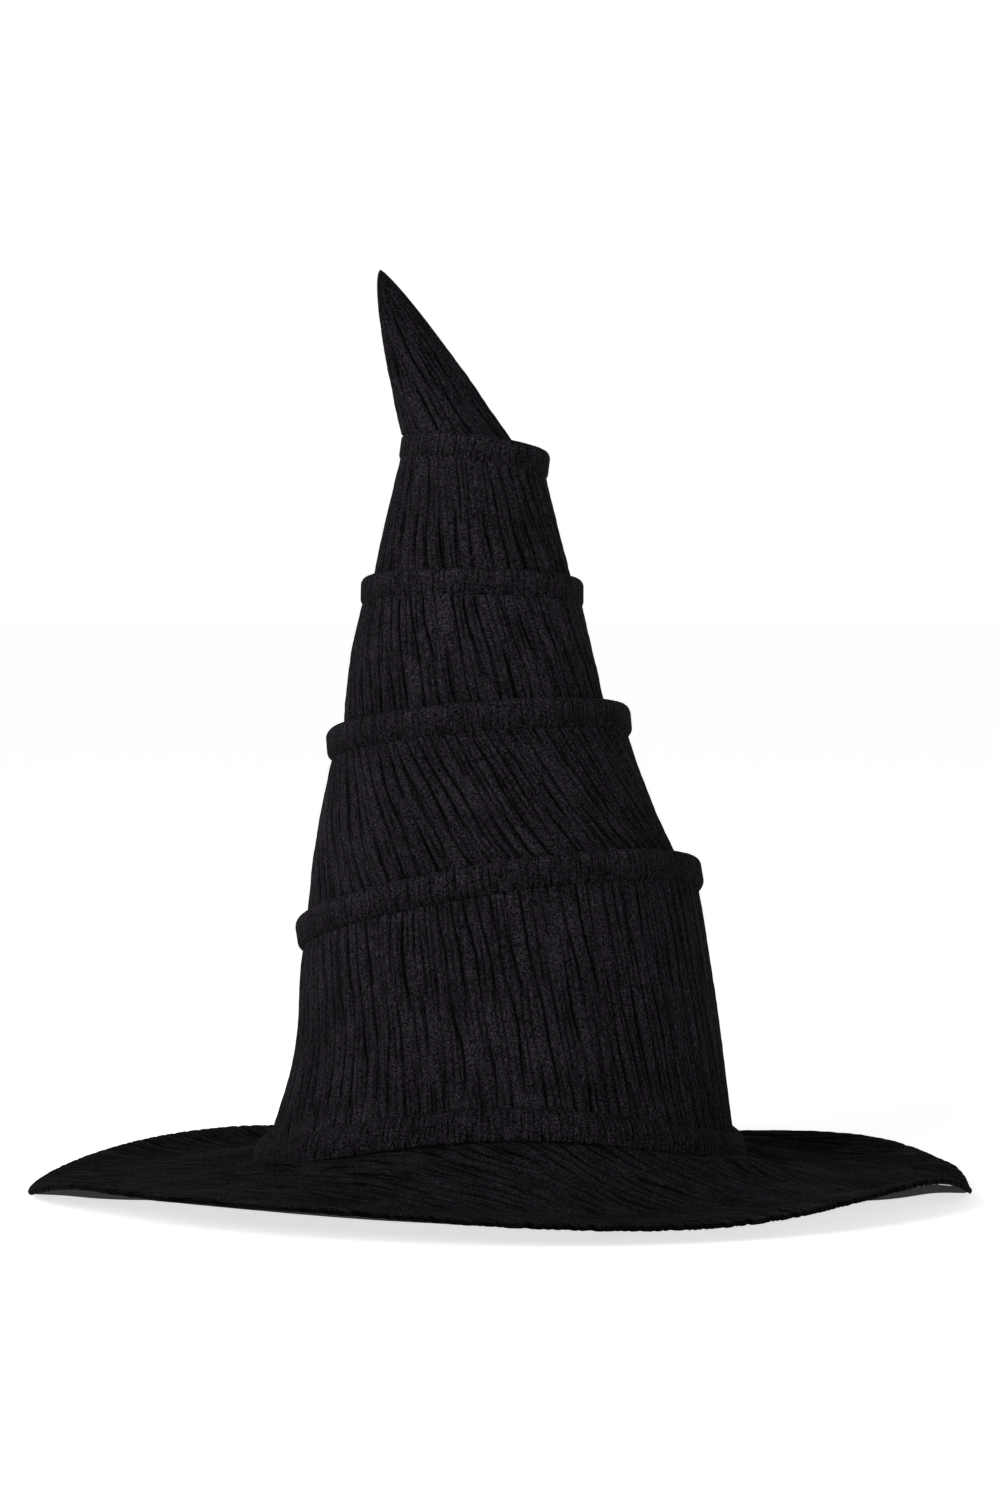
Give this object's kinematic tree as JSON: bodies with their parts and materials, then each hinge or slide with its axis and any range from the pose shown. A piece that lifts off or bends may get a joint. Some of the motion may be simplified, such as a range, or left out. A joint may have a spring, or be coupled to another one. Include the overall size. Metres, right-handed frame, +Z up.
{
  "type": "witch hat",
  "caption": "Crooked witch hat of crinkled black cloth: wide wired brim and a soft tiered crown with hooped welts and a leaning tip, with sweatband and lining.",
  "frame": {"origin": "centre of the brim on the plane that the brim's lowest edges stand on", "axes": "+Z up along the head opening's axis, the front of the hat faces -Y, +X to the right seen from the front"},
  "size_m": [0.386, 0.386, 0.3806],
  "materials": {
    "crinkle_cloth": "matt crinkled cotton",
    "facing_cloth": "smooth matt cotton",
    "lining_cloth": "satin lining",
    "ribbon": "ribbed grosgrain",
    "label_cloth": "woven tape",
    "buckram": "stiffened open weave",
    "wadding": "soft fibre",
    "boning": "smooth",
    "wire_steel": "drawn wire"
  },
  "bodies": {
    "base": {"brim_top": "crinkle_cloth", "brim_stiffener": "buckram", "brim_facing": "facing_cloth", "brim_wire": "wire_steel", "brim_wire_ferrule": "wire_steel", "base_welt": "crinkle_cloth", "base_welt_filler": "wadding", "sweatband": "ribbon", "lining_side": "lining_cloth", "lining_top": "lining_cloth", "size_label": "label_cloth", "tier_1": "crinkle_cloth"},
    "ring_1": {"welt_1": "crinkle_cloth", "hoop_1": "boning", "hoop_clip_1": "wire_steel", "tier_2": "crinkle_cloth"},
    "ring_2": {"welt_2": "crinkle_cloth", "hoop_2": "boning", "hoop_clip_2": "wire_steel", "tier_3": "crinkle_cloth"},
    "ring_3": {"welt_3": "crinkle_cloth", "hoop_3": "boning", "hoop_clip_3": "wire_steel", "tier_4": "crinkle_cloth"},
    "ring_4": {"welt_4": "crinkle_cloth", "hoop_4": "boning", "hoop_clip_4": "wire_steel", "tip_cone": "crinkle_cloth"},
    "tip": {"tip_wadding": "wadding"}
  },
  "joints": [
    {"name": "tier_1_bend", "type": "hinge", "parent": "base", "child": "ring_1", "pos_m": [0.002, 0.003, 0.068], "axis": [0, 1, 0], "range_deg": [-10, 10], "stiffness_Nm_per_rad": 3, "deforming": ["tier_1"]},
    {"name": "tier_2_bend", "type": "hinge", "parent": "ring_1", "child": "ring_2", "pos_m": [-0.006, 0.01, 0.153], "axis": [0, 1, 0], "range_deg": [-15, 15], "stiffness_Nm_per_rad": 2, "deforming": ["tier_2"]},
    {"name": "tier_3_bend", "type": "hinge", "parent": "ring_2", "child": "ring_3", "pos_m": [-0.01, 0.017, 0.217], "axis": [0, 1, 0], "range_deg": [-18, 18], "stiffness_Nm_per_rad": 1.2, "deforming": ["tier_3"]},
    {"name": "tier_4_bend", "type": "hinge", "parent": "ring_3", "child": "ring_4", "pos_m": [-0.011, 0.023, 0.274], "axis": [0, 1, 0], "range_deg": [-20, 20], "stiffness_Nm_per_rad": 0.8, "deforming": ["tier_4"]},
    {"name": "tip_bend", "type": "hinge", "parent": "ring_4", "child": "tip", "pos_m": [-0.025, 0.029, 0.326], "axis": [0, 1, 0], "range_deg": [-30, 45], "stiffness_Nm_per_rad": 0.2, "deforming": ["tip_cone"]}
  ]
}
